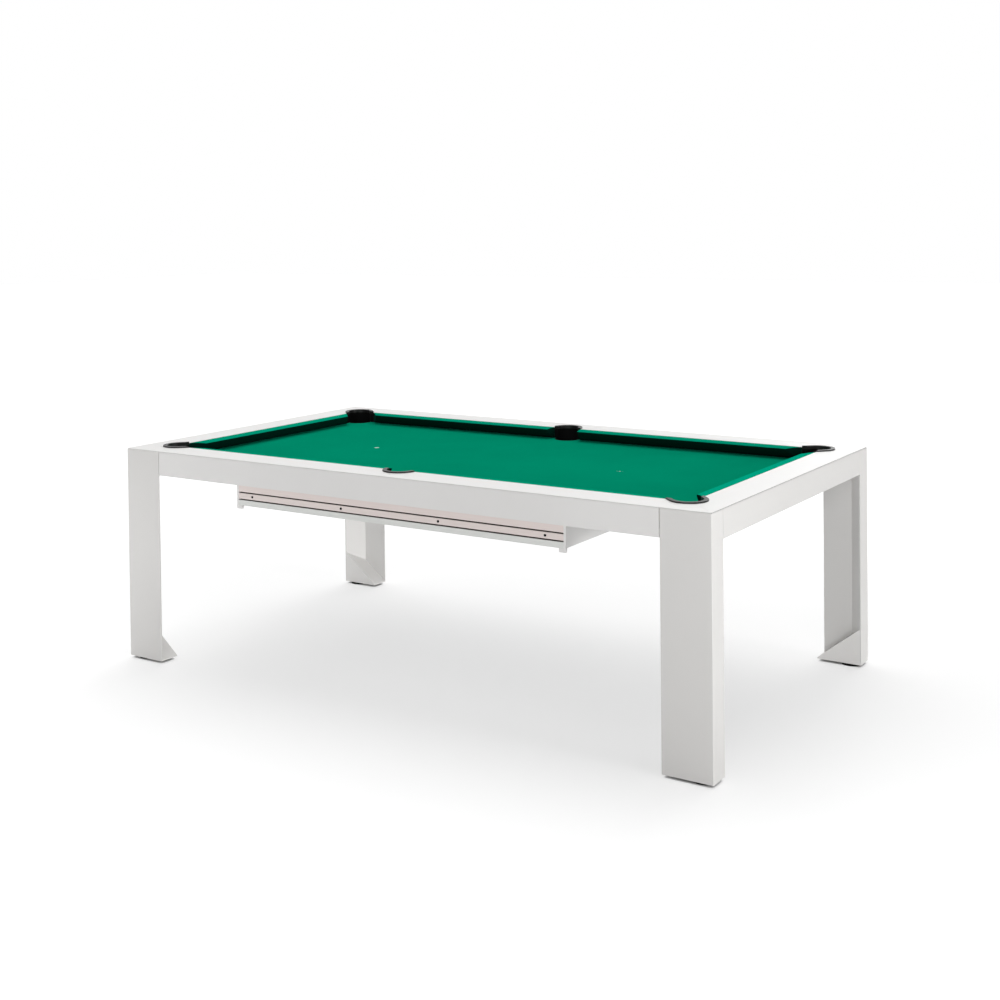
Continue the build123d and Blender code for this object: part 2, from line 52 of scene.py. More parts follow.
# ---------------------------------------------------------------- sizes read from the frame
cap_low, cap_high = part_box("rail_cap_rear")
cloth_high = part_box("bed_cloth")[1]
corner_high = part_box("corner_pocket_cups")[1]
side_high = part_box("side_pocket_cups")[1]
RAIL_TOP = cap_high[2]
HALF_LENGTH = cap_high[0]
HALF_WIDTH = cap_high[1]
RAIL_WIDTH = cap_high[1] - cap_low[1]
BED_TOP = cloth_high[2]
STRIP_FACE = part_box("drawer_front_strips")[0][1]
REVEAL_TOP = cap_low[2] + 0.0017  # upper edge of the shadow line painted under a rail cap
CLOTH_WRAP = 0.006  # cushion cloth lapped over a rail's inner edge, painted in shade
GROOVE_DEPTH = 0.0006  # how far behind the strips' face their grooves are painted dark as shade
CLOTH_X = cloth_high[0]
CLOTH_Y = cloth_high[1]

POCKET_HOLE = 0.051  # radius of the cloth's holes, round the pocket cups
POCKET_RADIUS = side_high[0]
CORNER_X = corner_high[0] - POCKET_RADIUS
CORNER_Y = corner_high[1] - POCKET_RADIUS
SIDE_Y = side_high[1] - POCKET_RADIUS
POCKET_CENTRES = [
    (-CORNER_X, -CORNER_Y),
    (CORNER_X, -CORNER_Y),
    (CORNER_X, CORNER_Y),
    (-CORNER_X, CORNER_Y),
    (0.0, -SIDE_Y),
    (0.0, SIDE_Y),
]

# ---------------------------------------------------------------- sizes of the pieces made here
CLOTH_THICKNESS = 0.0007
CLOTH_ROLL = 0.0008  # radius of the cloth's turn into a pocket
CLOTH_TUCK = 0.010  # how deep it hangs behind a pocket cup
CLOTH_SPACING = 0.035  # between the points of its mesh
HOLE_POINTS = 64
ROLL_STEPS = 5

CUSHION_WIDTH = 0.042
CUSHION_BACK_DROP = 0.001  # below the rail top, as the nose drop is
CUSHION_NOSE_DROP = 0.004
CUSHION_NOSE_RADIUS = 0.003
CUSHION_CROWN = 0.0007
CUSHION_CLEARANCE = 0.0003  # its underside's height over the bed cloth
# The rounded back edge: (distance in from the rail's edge, depth below the back).
CUSHION_BACK_EDGE = ((0.0, 0.0012), (0.0005, 0.0004), (0.0022, 0.0))
# Below the nose: (distance in from the rail's edge, height over the underside).
CUSHION_UNDERSIDE = (
    (0.030, 0.0172), (0.0195, 0.0079), (0.0105, 0.0012), (0.009, 0.0), (0.0, 0.0))
CUSHION_END_ROUND = 0.0008
CUSHION_STATIONS = 28
CUSHION_TOP_FACES = 9  # faces of the section, from the back to the nose, in the cloth's own green; the rest are painted shade
POCKET_GAP = 0.0005  # between a cushion's back corner and the pocket
SIDE_FLARE = 10  # degrees, of the cushion ends at a side pocket

LINER_THICKNESS = 0.0011
LINER_COLUMNS = 90
LINER_ROWS = 32
LINER_RIPPLE = 0.00035
LINER_SINK = 0.0003  # of its mean face below the CAD felt's top, to leave room for the ripples

# ---------------------------------------------------------------- studio
FLOOR_LEVEL = 0.88  # the floor's grey, as it lights the table
FLOOR_SEEN_LEVEL = 0.48  # and as it is seen, before its white is added
FLOOR_GLOW = (0.548, 0.720)  # the seen floor's white, dimmed beside the table as a painted shadow, and full away from it
# Reach of the painted contact shadow round the feet.
FLOOR_CONTACT = 0.05
WORLD_STRENGTH = 0.25

# Name, strength, angle across in degrees, heading.
SUNS = (
    ("overhead", 1.69, 60, (0.25, -0.45, -1.0)),
    ("low_right", 1.22, 12, (-1.0, 0.06, -0.09)),
    ("low_front", 1.27, 30, (-0.35, 0.9, -0.08)),
    ("low_back", 0.62, 30, (0.1, -1.0, -0.3)),
)
# Name, strength, width, place, heading.
SOFTBOXES = (
    ("softbox_right", 3.4, 0.9, (2.1, -1.1, 1.0), (-1.0, 0.5, -0.25)),
    ("softbox_left", 2.9, 0.8, (-1.9, -1.25, 0.1), (0.9, 0.7, 0.05)),
)

CAMERA_PLACE = (2.7468, -4.1619, 1.5525)
CAMERA_ANGLES = (32.985, 1.261, -0.634)  # azimuth, downward pitch and roll, in degrees
CAMERA_LENS = 50.69
CAMERA_SHIFT = -0.245

# ---------------------------------------------------------------- colours
# Painted light: the top boards take a lighter copy of the white coat than the aprons.
LIT_CAP_WHITE = (0.839, 0.832, 0.820)
WHITE = (0.770, 0.762, 0.751)
# Painted shade: a darker copy of the white coat, on the legs and the end aprons.
SHADED_LEG_WHITE = (0.700, 0.690, 0.675)
PULL_WHITE = (0.78, 0.77, 0.76)
# Painted light: a paler copy of the white coat on the gussets and wedge feet, which sit in shade
# under the table.
LIT_GUSSET_WHITE = (0.80, 0.787, 0.770)
BOARD_WHITE = (0.74, 0.74, 0.73)
FRAME_GREY = (0.62, 0.63, 0.64)
# Painted shadow: the colours of the shadow line under the top boards' outer edges, dark at the ends
# and pale along the sides.
SHADOW_GAP = (0.05, 0.05, 0.05)
PALE_SHADOW_PAINT = (0.72, 0.71, 0.70)

GREEN = (0.0004, 0.283, 0.157)
BRIGHT_GREEN = (0.0005, 0.275, 0.160)
# Painted light: a lighter copy of the cushion cloth, for the right end cushion on which more light
# falls.
LIT_END_GREEN = (0.0006, 0.345, 0.205)
# Painted shade: the near-black green of cloth in shadow under the cushions' noses and where cloth
# laps the rails.
SHADED_CLOTH_GREEN = (0.0005, 0.018, 0.012)
SPOT_GREEN = (0.42, 0.62, 0.54)

RING_BLACK = (0.005, 0.0051, 0.0051)
CUP_BLACK = (0.0012, 0.0013, 0.0013)
FOOT_BLACK = (0.004, 0.004, 0.004)
SCREW_BLACK = (0.012, 0.011, 0.011)
FELT_BLACK = (0.028, 0.030, 0.034)
SLATE_BLACK = (0.075, 0.08, 0.085)

STRIP_BEIGE = (0.773, 0.690, 0.662)
SILL_GREY = (0.733, 0.744, 0.722)
# The backing's own dark brown, also painted as shade on the strips' groove walls.
BACKING_AND_GROOVE_SHADE_BROWN = (0.045, 0.027, 0.023)
WOOD_PALE = (0.50, 0.34, 0.19)
WOOD_DARK = (0.34, 0.21, 0.11)
RUNNER_ZINC = (0.56, 0.57, 0.58)
BOLT_ZINC = (0.45, 0.46, 0.48)

SHEEN_TINT = (0.0, 0.6, 0.4, 1)


# ---------------------------------------------------------------- node helpers
class Surface:
    """A Principled material that is built up from small node recipes in the frame's coordinates."""

    def __init__(self, name, colour, roughness, metallic=0.0, specular=0.5):
        self.material = bpy.data.materials.new(name)
        self.material.use_nodes = True
        self.tree = self.material.node_tree
        self.shader = self.tree.nodes["Principled BSDF"]
        self.shader.inputs["Base Color"].default_value = (*colour, 1)
        self.shader.inputs["Roughness"].default_value = roughness
        self.shader.inputs["Metallic"].default_value = metallic
        self.shader.inputs["Specular IOR Level"].default_value = specular
        self.place = self.node("ShaderNodeTexCoord").outputs["Object"]
        self.bump_height = None

    def node(self, kind, **settings):
        made = self.tree.nodes.new(kind)
        for key, value in settings.items():
            setattr(made, key, value)
        return made

    def link(self, source, target):
        self.tree.links.new(source, target)

    def stretched(self, x, y, z):
        """The coordinates scaled along each axis, for grain and brushing."""
        mapping = self.node("ShaderNodeMapping")
        mapping.inputs["Scale"].default_value = (x, y, z)
        self.link(self.place, mapping.inputs["Vector"])
        return mapping.outputs["Vector"]

    def noise(self, scale, detail=3.0, roughness=0.5, at=None):
        """A noise value between 0 and 1."""
        made = self.node("ShaderNodeTexNoise")
        made.inputs["Scale"].default_value = scale
        made.inputs["Detail"].default_value = detail
        made.inputs["Roughness"].default_value = roughness
        self.link(at or self.place, made.inputs["Vector"])
        return made.outputs["Fac"]

    def wave(self, scale, direction, distortion=0.0):
        """Fine parallel bands, for the cloth's weave."""
        made = self.node("ShaderNodeTexWave", bands_direction=direction)
        made.inputs["Scale"].default_value = scale
        made.inputs["Distortion"].default_value = distortion
        self.link(self.place, made.inputs["Vector"])
        return made.outputs["Fac"]

    def ramp(self, value, *stops):
        """Colours along a value: (position, colour) pairs."""
        made = self.node("ShaderNodeValToRGB")
        band = made.color_ramp
        while len(band.elements) < len(stops):
            band.elements.new(0.5)
        for element, (position, colour) in zip(band.elements, stops):
            element.position = position
            element.color = (*colour, 1)
        self.link(value, made.inputs["Fac"])
        return made.outputs["Color"]

    def spread(self, value, low, high):
        """A value between 0 and 1 mapped to another span."""
        made = self.node("ShaderNodeMapRange")
        made.inputs["To Min"].default_value = low
        made.inputs["To Max"].default_value = high
        self.link(value, made.inputs["Value"])
        return made.outputs["Result"]

    def product(self, first, second):
        """Two values multiplied, which is where both of two masks are 1."""
        made = self.node("ShaderNodeMath", operation="MULTIPLY")
        self.link(first, made.inputs[0])
        self.link(second, made.inputs[1])
        return made.outputs["Value"]

    def shaded(self, first, second, share):
        """One colour multiplied by another, at a fixed share."""
        made = self.node("ShaderNodeMix", data_type="RGBA", blend_type="MULTIPLY")
        self.link(first, made.inputs["A"])
        self.link(second, made.inputs["B"])
        made.inputs["Factor"].default_value = share
        return made.outputs["Result"]

    def axis(self, letter):
        """One of the frame's coordinates."""
        made = self.node("ShaderNodeSeparateXYZ")
        self.link(self.place, made.inputs["Vector"])
        return made.outputs[letter]

    def below(self, value, limit):
        """1 where a value is under a limit, otherwise 0."""
        made = self.node("ShaderNodeMath", operation="LESS_THAN")
        self.link(value, made.inputs[0])
        made.inputs[1].default_value = limit
        return made.outputs["Value"]

    def between(self, letter, limit):
        """1 where a coordinate lies within this distance of the middle of the table."""
        size = self.node("ShaderNodeMath", operation="ABSOLUTE")
        self.link(self.axis(letter), size.inputs[0])
        return self.below(size.outputs["Value"], limit)

    def painted(self, fill, where):
        """Another colour where a mask is 1, over what the base colour is by now."""
        base = self.shader.inputs["Base Color"].links[0].from_socket
        made = self.node("ShaderNodeMix", data_type="RGBA")
        self.link(base, made.inputs["A"])
        made.inputs["B"].default_value = (*fill, 1)
        self.link(where, made.inputs["Factor"])
        self.link(made.outputs["Result"], self.shader.inputs["Base Color"])
        return self

    def colour(self, value):
        """Takes the base colour from a node."""
        self.link(value, self.shader.inputs["Base Color"])
        return self

    def roughness(self, value, low, high):
        """Varies the roughness between two levels by a value between 0 and 1."""
        self.link(self.spread(value, low, high), self.shader.inputs["Roughness"])
        return self

    def bump(self, height, depth):
        """Adds relief of this depth, in metres, on top of any that is there."""
        made = self.node("ShaderNodeBump")
        made.inputs["Distance"].default_value = depth
        self.link(height, made.inputs["Height"])
        if self.bump_height is not None:
            self.link(self.bump_height, made.inputs["Normal"])
        self.bump_height = made.outputs["Normal"]
        self.link(self.bump_height, self.shader.inputs["Normal"])
        return self


def tinted(colour, factor):
    """A colour made darker or lighter by a factor."""
    return tuple(c * factor for c in colour)


def powder_coat(name, colour, roughness=0.42, shadow_paint=None):
    """Semi-matt powder coating: a very fine orange peel and hardly any change of tone.

    shadow_paint is the colour of a shadow line painted under a top board's outer edge.
    """
    s = Surface(name, colour, roughness, specular=0.45)
    cloudy = s.noise(2.2, 2.0)
    s.colour(s.ramp(cloudy, (0.3, tinted(colour, 0.972)), (0.7, colour)))
    s.roughness(s.noise(35.0, 2.0), roughness - 0.05, roughness + 0.05)
    s.bump(s.noise(900.0, 2.0), 0.00003)
    s.bump(s.noise(180.0, 1.0), 0.00004)
    if shadow_paint:
        # Paints the shadow line below the reveal's upper edge.
        s.painted(shadow_paint, s.below(s.axis("Z"), REVEAL_TOP))
    return s.material


def billiard_cloth(name, colour, depth=0.00006, sheen=0.05):
    """Worsted cloth: a tight weave under a short nap that lies along the table."""
    s = Surface(name, colour, 0.95, specular=0.0)
    nap = s.noise(1.0, 4.0, 0.6, s.stretched(240, 900, 240))
    patches = s.noise(3.5, 3.0, 0.55)
    thread = s.product(s.wave(520.0, "X", 1.5), s.wave(470.0, "Y", 1.5))
    base = s.ramp(patches, (0.25, tinted(colour, 0.94)), (0.75, tinted(colour, 1.05)))
    fibres = s.ramp(nap, (0.3, (0.84, 0.84, 0.84)), (0.62, (1.0, 1.0, 1.0)))
    s.colour(s.shaded(base, fibres, 0.8))
    s.bump(thread, depth * 0.7)
    s.bump(nap, depth)
    s.shader.inputs["Sheen Weight"].default_value = sheen
    s.shader.inputs["Sheen Roughness"].default_value = 0.4
    s.shader.inputs["Sheen Tint"].default_value = SHEEN_TINT
    return s.material


def rubber(name, colour, roughness=0.38):
    """Moulded rubber with a faint grain and dull rubbed patches."""
    s = Surface(name, colour, roughness, specular=0.22)
    grain = s.noise(28.0, 4.0, 0.6)
    s.colour(s.ramp(grain, (0.35, tinted(colour, 0.8)), (0.7, tinted(colour, 1.35))))
    s.roughness(s.noise(60.0, 3.0), roughness - 0.06, roughness + 0.1)
    s.bump(s.noise(1400.0, 2.0), 0.00004)
    return s.material


def moulded_plastic(name, colour, roughness=0.5, specular=0.4):
    """Textured plastic, as on pocket linings and glides."""
    s = Surface(name, colour, roughness, specular=specular)
    s.colour(s.ramp(s.noise(40.0, 2.0), (0.3, tinted(colour, 0.85)), (0.7, tinted(colour, 1.15))))
    s.roughness(s.noise(90.0, 2.0), roughness - 0.05, roughness + 0.08)
    s.bump(s.noise(1100.0, 3.0, 0.7), 0.00009)
    return s.material


def brushed_strip(name, colour, roughness=0.36):
    """Satin strip with fine lines along the table, and painted dark brown as shade in the grooves
    behind its face.
    """
    s = Surface(name, colour, roughness, specular=0.4)
    lines = s.noise(1.0, 3.0, 0.6, s.stretched(6, 900, 1600))
    s.colour(s.ramp(lines, (0.3, tinted(colour, 0.95)), (0.7, tinted(colour, 1.03))))
    s.roughness(lines, roughness - 0.06, roughness + 0.08)
    s.bump(lines, 0.00002)
    # The front is at -Y, so the grooves are where the distance forward is under a limit.
    forward = s.node("ShaderNodeMath", operation="SUBTRACT")
    forward.inputs[0].default_value = 0.0
    s.link(s.axis("Y"), forward.inputs[1])
    # Painted shade on the groove walls behind the strips' face.
    s.painted(BACKING_AND_GROOVE_SHADE_BROWN, s.below(forward.outputs["Value"], -STRIP_FACE - GROOVE_DEPTH))
    return s.material


def zinc_steel(name, colour, roughness=0.34):
    """Zinc-plated steel with drawn lines along its length."""
    s = Surface(name, colour, roughness, metallic=1.0)
    drawn = s.noise(1.0, 3.0, 0.6, s.stretched(1500, 8, 1500))
    s.colour(s.ramp(s.noise(14.0, 3.0), (0.3, tinted(colour, 0.86)), (0.7, colour)))
    s.roughness(drawn, roughness - 0.08, roughness + 0.12)
    s.bump(drawn, 0.00002)
    return s.material


def stone(name, colour):
    """Honed slate with faint layers."""
    s = Surface(name, colour, 0.7, specular=0.35)
    layers = s.noise(1.0, 5.0, 0.6, s.stretched(9, 9, 260))
    grit = s.noise(420.0, 3.0, 0.7)
    s.colour(s.ramp(layers, (0.3, tinted(colour, 0.75)), (0.7, tinted(colour, 1.25))))
    s.roughness(grit, 0.6, 0.82)
    s.bump(layers, 0.0002)
    s.bump(grit, 0.00006)
    return s.material


def wood(name, colour, dark, along):
    """Planed softwood with its grain along one axis, and cloth over the edge by the cushions,
    painted in the near-black green of shaded cloth.
    """
    s = Surface(name, colour, 0.62, specular=0.3)
    scale = (4, 150, 150) if along == "X" else (150, 4, 150)
    grain = s.noise(1.0, 5.0, 0.6, s.stretched(*scale))
    s.colour(s.ramp(grain, (0.35, dark), (0.62, colour)))
    s.roughness(grain, 0.5, 0.75)
    s.bump(grain, 0.0001)
    shaded_wrap = s.product(
        s.between("X", HALF_LENGTH - RAIL_WIDTH + CLOTH_WRAP),
        s.between("Y", HALF_WIDTH - RAIL_WIDTH + CLOTH_WRAP),
    )
    # The lapped cloth is painted shade, not the cloth's own green.
    s.painted(SHADED_CLOTH_GREEN, shaded_wrap)
    return s.material


def felt(name, colour):
    """Pressed felt with loose short fibres."""
    s = Surface(name, colour, 1.0, specular=0.02)
    fibres = s.noise(700.0, 5.0, 0.75)
    s.colour(s.ramp(fibres, (0.3, tinted(colour, 0.6)), (0.75, tinted(colour, 1.5))))
    s.bump(fibres, 0.0003)
    return s.material


# ---------------------------------------------------------------- materials
end_cap_coat = powder_coat("end_cap_coat", LIT_CAP_WHITE, shadow_paint=SHADOW_GAP)
long_cap_coat = powder_coat("long_cap_coat", LIT_CAP_WHITE, shadow_paint=PALE_SHADOW_PAINT)
white_coat = powder_coat("white_coat", WHITE)
pull_coat = powder_coat("pull_coat", PULL_WHITE)
lit_gusset_coat = powder_coat("lit_gusset_coat", LIT_GUSSET_WHITE)
shaded_leg_coat = powder_coat("shaded_leg_coat", SHADED_LEG_WHITE)
frame_coat = powder_coat("frame_coat", FRAME_GREY, 0.5)
bed_material = billiard_cloth("bed_baize", GREEN)
cushion_material = billiard_cloth("cushion_baize", BRIGHT_GREEN, sheen=0.30)
# A lighter, sheenier copy of the cushion cloth as painted light on the right end cushion.
cushion_lit_material = billiard_cloth("cushion_baize_lit", LIT_END_GREEN, sheen=0.40)
# Painted shade on the cushions' undersides and ends.
cushion_painted_shade = billiard_cloth("cushion_baize_painted_shade", SHADED_CLOTH_GREEN)
ring_material = rubber("pocket_ring_rubber", RING_BLACK)
cup_material = moulded_plastic("pocket_cup_plastic", CUP_BLACK, 0.75, 0.08)
foot_material = moulded_plastic("foot_plastic", FOOT_BLACK, 0.6, 0.12)
spot_material = moulded_plastic("spot_film", SPOT_GREEN, 0.6)
backing_material = moulded_plastic("backing_black", BACKING_AND_GROOVE_SHADE_BROWN, 0.8, 0.05)
screw_material = zinc_steel("screw_black_steel", SCREW_BLACK, 0.4)
strip_material = brushed_strip("strip_beige", STRIP_BEIGE)
sill_material = brushed_strip("strip_grey", SILL_GREY)
slate_material = stone("slate", SLATE_BLACK)
rail_wood_x = wood("rail_wood_long", WOOD_PALE, WOOD_DARK, "X")
rail_wood_y = wood("rail_wood_end", WOOD_PALE, WOOD_DARK, "Y")
steel_material = zinc_steel("runner_zinc", RUNNER_ZINC)
bolt_material = zinc_steel("bolt_zinc", BOLT_ZINC, 0.3)
board_material = powder_coat("drawer_board", BOARD_WHITE, 0.5)
felt_material = felt("drawer_felt", FELT_BLACK)


def dress(name, material):
    """Gives a carried-over CAD node its finish."""
    mesh = nodes[name].data
    mesh.materials.clear()
    mesh.materials.append(material)


CORNERS = ("front_left", "front_right", "rear_right", "rear_left")
for corner in CORNERS:
    dress(f"leg_shell_{corner}", shaded_leg_coat)
    dress(f"leg_gusset_{corner}", lit_gusset_coat)
    dress(f"levelling_foot_{corner}", foot_material)
    dress(f"pocket_ring_{corner}", ring_material)
for place in ("side_front", "side_rear"):
    dress(f"pocket_ring_{place}", ring_material)
for places, apron, cap, core in (
    (("front", "rear"), white_coat, long_cap_coat, rail_wood_x),
    (("left", "right"), shaded_leg_coat, end_cap_coat, rail_wood_y),
):
    for place in places:
        dress(f"apron_{place}", apron)
        dress(f"rail_cap_{place}", cap)
        dress(f"frame_beam_{place}", frame_coat)
        dress(f"rail_core_{place}", core)
for name, material in (
    ("frame_cross_beams", frame_coat),
    ("slate_bed", slate_material),
    ("table_spots", spot_material),
    ("corner_pocket_cups", cup_material),
    ("side_pocket_cups", cup_material),
    ("frame_bolts", bolt_material),
    ("rail_bolts", bolt_material),
    ("drawer_backing", backing_material),
    ("drawer_front_strips", strip_material),
    ("drawer_front_sill", sill_material),
    ("drawer_front_screws", screw_material),
    ("drawer_pulls", pull_coat),
    ("drawer_walls", board_material),
    ("drawer_bottom", board_material),
    ("runner_fixed", steel_material),
    ("runner_middle", steel_material),
    ("runner_drawer", steel_material),
    ("drawer_hangers", white_coat),
):
    dress(name, material)


# ---------------------------------------------------------------- mesh helpers
def new_object(name, mesh_data, materials, body):
    """Links a piece to the scene, riding on a body, with its materials."""
    made = bpy.data.objects.new(name, mesh_data)
    for material in materials:
        mesh_data.materials.append(material)
    scene.collection.objects.link(made)
    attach(made, body)
    return made


def apply_modifiers(obj):
    """Puts the modifiers' result into the mesh itself."""
    graph = bpy.context.evaluated_depsgraph_get()
    result = bpy.data.meshes.new_from_object(obj.evaluated_get(graph))
    obj.modifiers.clear()
    obj.data = result


def smooth(mesh):
    """Shades all the faces of a mesh smooth."""
    for face in mesh.polygons:
        face.use_smooth = True


def thicken(obj, thickness):
    """Gives a sheet its thickness, below its upper face."""
    shell = obj.modifiers.new("thickness", "SOLIDIFY")
    shell.thickness = thickness
    shell.offset = -1
    apply_modifiers(obj)


# ---------------------------------------------------------------- bed cloth
def circle(x, y, radius, count):
    """Points round a circle, in the plane of the bed."""
    step = 2 * math.pi / count
    return [
        Vector((x + radius * math.cos(i * step), y + radius * math.sin(i * step)))
        for i in range(count)
    ]


def cloth_plan(half_x, half_y, holes, hole_radius, spacing, hole_count):
    """The points and triangles of a flat sheet with round holes."""
    points = []
    edges = []
    corners = [(-half_x, -half_y), (half_x, -half_y), (half_x, half_y), (-half_x, half_y)]
    rim = []
    for start, end in zip(corners, corners[1:] + corners[:1]):
        run = Vector(end) - Vector(start)
        count = max(2, round(run.length / spacing))
        rim += [Vector(start) + run * (i / count) for i in range(count)]
    loops = [rim] + [circle(x, y, hole_radius, hole_count) for x, y in holes]
    for loop in loops:
        first = len(points)
        points += loop
        edges += [(first + i, first + (i + 1) % len(loop)) for i in range(len(loop))]
    for x, y in holes:
        points += circle(x, y, hole_radius * 1.12, hole_count)
        points += circle(x, y, hole_radius * 1.3, hole_count // 2)
    clear = hole_radius * 1.3 + spacing * 0.4
    columns = round(2 * half_x / spacing)
    rows = round(2 * half_y / spacing)
    for i in range(1, columns):
        for j in range(1, rows):
            shift = 0.25 if j % 2 else 0.0
            x = -half_x + (i + shift) * 2 * half_x / columns
            y = -half_y + j * 2 * half_y / rows
            spot = Vector((x, y))
            if all((spot - Vector(hole)).length > clear for hole in holes):
                points.append(spot)
    result = delaunay_2d_cdt(points, edges, [], 0, 1e-7)
    verts, faces = result[0], result[2]
    kept = []
    for face in faces:
        middle = sum((verts[i] for i in face), Vector((0, 0))) / len(face)
        if all((middle - Vector(hole)).length > hole_radius * 0.999 for hole in holes):
            kept.append(face)
    return verts, kept


def make_bed_cloth():
    """The stretched cloth: flat on the slate, and tucked down between it and each pocket cup."""
    verts, faces = cloth_plan(
        CLOTH_X, CLOTH_Y, POCKET_CENTRES, POCKET_HOLE, CLOTH_SPACING, HOLE_POINTS)
    mesh = bpy.data.meshes.new("bed_cloth_sheet")
    mesh.from_pydata([(v.x, v.y, BED_TOP) for v in verts], [], faces)
    work = bmesh.new()
    work.from_mesh(mesh)
    for hx, hy in POCKET_CENTRES:
        centre = Vector((hx, hy))
        ring = [e for e in work.edges if e.is_boundary and all(
            abs((v.co.xy - centre).length - POCKET_HOLE) < 1e-5 for v in e.verts)]
        for step in range(1, ROLL_STEPS + 2):
            made = bmesh.ops.extrude_edge_only(work, edges=ring)["geom"]
            ring = [g for g in made if isinstance(g, bmesh.types.BMEdge)]
            if step <= ROLL_STEPS:
                angle = math.radians(90 / ROLL_STEPS * step)
                radius = POCKET_HOLE - CLOTH_ROLL * math.sin(angle)
                height = BED_TOP - CLOTH_ROLL * (1 - math.cos(angle))
            else:
                radius = POCKET_HOLE - CLOTH_ROLL
                height = BED_TOP - CLOTH_ROLL - CLOTH_TUCK
            for vert in {v for e in ring for v in e.verts}:
                out = (vert.co.xy - centre).normalized()
                vert.co = (*(centre + out * radius), height)
    bmesh.ops.recalc_face_normals(work, faces=work.faces)
    if sum(f.normal.z for f in work.faces) < 0:
        bmesh.ops.reverse_faces(work, faces=work.faces)
    work.to_mesh(mesh)
    work.free()
    smooth(mesh)
    cloth = new_object("bed_cloth_sheet", mesh, [bed_material], "table")
    thicken(cloth, CLOTH_THICKNESS)
    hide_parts("bed_cloth")


# ---------------------------------------------------------------- cushions
def cushion_profile():
    """The cloth-covered section, as (distance in from the rail's edge, height) pairs in order."""
    back_top = RAIL_TOP - CUSHION_BACK_DROP
    nose_top = RAIL_TOP - CUSHION_NOSE_DROP
    foot = BED_TOP + CUSHION_CLEARANCE
    round_x = CUSHION_BACK_EDGE[-1][0]
    nose_x = CUSHION_WIDTH - CUSHION_NOSE_RADIUS
    points = [(inset, back_top - depth) for inset, depth in CUSHION_BACK_EDGE]
    for share in (0.2, 0.4, 0.6, 0.8):
        crown = CUSHION_CROWN * math.sin(math.pi * share)
        points.append((
            round_x + (nose_x - round_x) * share,
            back_top + (nose_top - back_top) * share + crown,
        ))
    for angle in (90, 65, 40, 15, -10, -35):
        a = math.radians(angle)
        points.append((
            nose_x + CUSHION_NOSE_RADIUS * math.cos(a),
            nose_top - CUSHION_NOSE_RADIUS + CUSHION_NOSE_RADIUS * math.sin(a),
        ))
    points.append((CUSHION_WIDTH - 0.00125, nose_top - 0.0065))
    points += [(inset, foot + height) for inset, height in CUSHION_UNDERSIDE]
    return points


def make_cushion(name, node, start, end, place, cloth=cushion_material):
    """One cushion bar, whose section goes from start to end.

    start and end are (position at the back, change of position per distance in).
    """
    profile = cushion_profile()
    mesh = bpy.data.meshes.new(name)
    work = bmesh.new()
    rings = []
    for step in range(CUSHION_STATIONS + 1):
        share = step / CUSHION_STATIONS
        ring = []
        for inset, height in profile:
            low = start[0] + start[1] * inset
            high = end[0] + end[1] * inset
            ring.append(work.verts.new(place(low + (high - low) * share, inset, height)))
        rings.append(ring)
    count = len(profile)
    for first, second in zip(rings, rings[1:]):
        for i in range(count):
            j = (i + 1) % count
            face = work.faces.new((first[i], first[j], second[j], second[i]))
            face.material_index = 0 if i < CUSHION_TOP_FACES else 1
    # The two ends also take the painted shade.
    for ring in (rings[0], rings[-1]):
        face = work.faces.new(ring)
        face.material_index = 1
    bmesh.ops.recalc_face_normals(work, faces=work.faces)
    caps = [f for f in work.faces if len(f.verts) == count]
    for face in caps:
        bmesh.ops.inset_region(work, faces=[face], thickness=0.0016, depth=0.0)
        bmesh.ops.inset_region(work, faces=[face], thickness=0.0006, depth=-0.0004)
    work.to_mesh(mesh)
    work.free()
    smooth(mesh)
    cushion = new_object(name, mesh, [cloth, cushion_painted_shade], "table")
    bevel = cushion.modifiers.new("soft_ends", "BEVEL")
    bevel.width = CUSHION_END_ROUND
    bevel.segments = 2
    bevel.limit_method = "ANGLE"
    bevel.angle_limit = math.radians(50)
    apply_modifiers(cushion)
    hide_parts(node)


def make_cushions():
    """Six cushions between the pockets, with faces cut square to the corner mouths."""
    side_start = POCKET_RADIUS + POCKET_GAP
    offset = math.sqrt(2) * side_start
    flare = math.tan(math.radians(SIDE_FLARE))
    corner_end = HALF_LENGTH - RAIL_WIDTH - offset
    end_reach = HALF_WIDTH - RAIL_WIDTH - offset
    for place, sy in (("front", -1), ("rear", 1)):
        for hand, sx in (("left", -1), ("right", 1)):
            make_cushion(
                f"cushion_cloth_{place}_{hand}", f"cushion_{place}_{hand}",
                (side_start, flare), (corner_end, -1.0),
                lambda run, inset, z, sx=sx, sy=sy: (
                    sx * run, sy * (HALF_WIDTH - RAIL_WIDTH - inset), z),
            )
    for hand, sx in (("left", -1), ("right", 1)):
        make_cushion(
            f"cushion_cloth_{hand}", f"cushion_{hand}",
            (-end_reach, 1.0), (end_reach, -1.0),
            lambda run, inset, z, sx=sx: (
                sx * (HALF_LENGTH - RAIL_WIDTH - inset), run, z),
            cushion_lit_material if hand == "right" else cushion_material,
        )


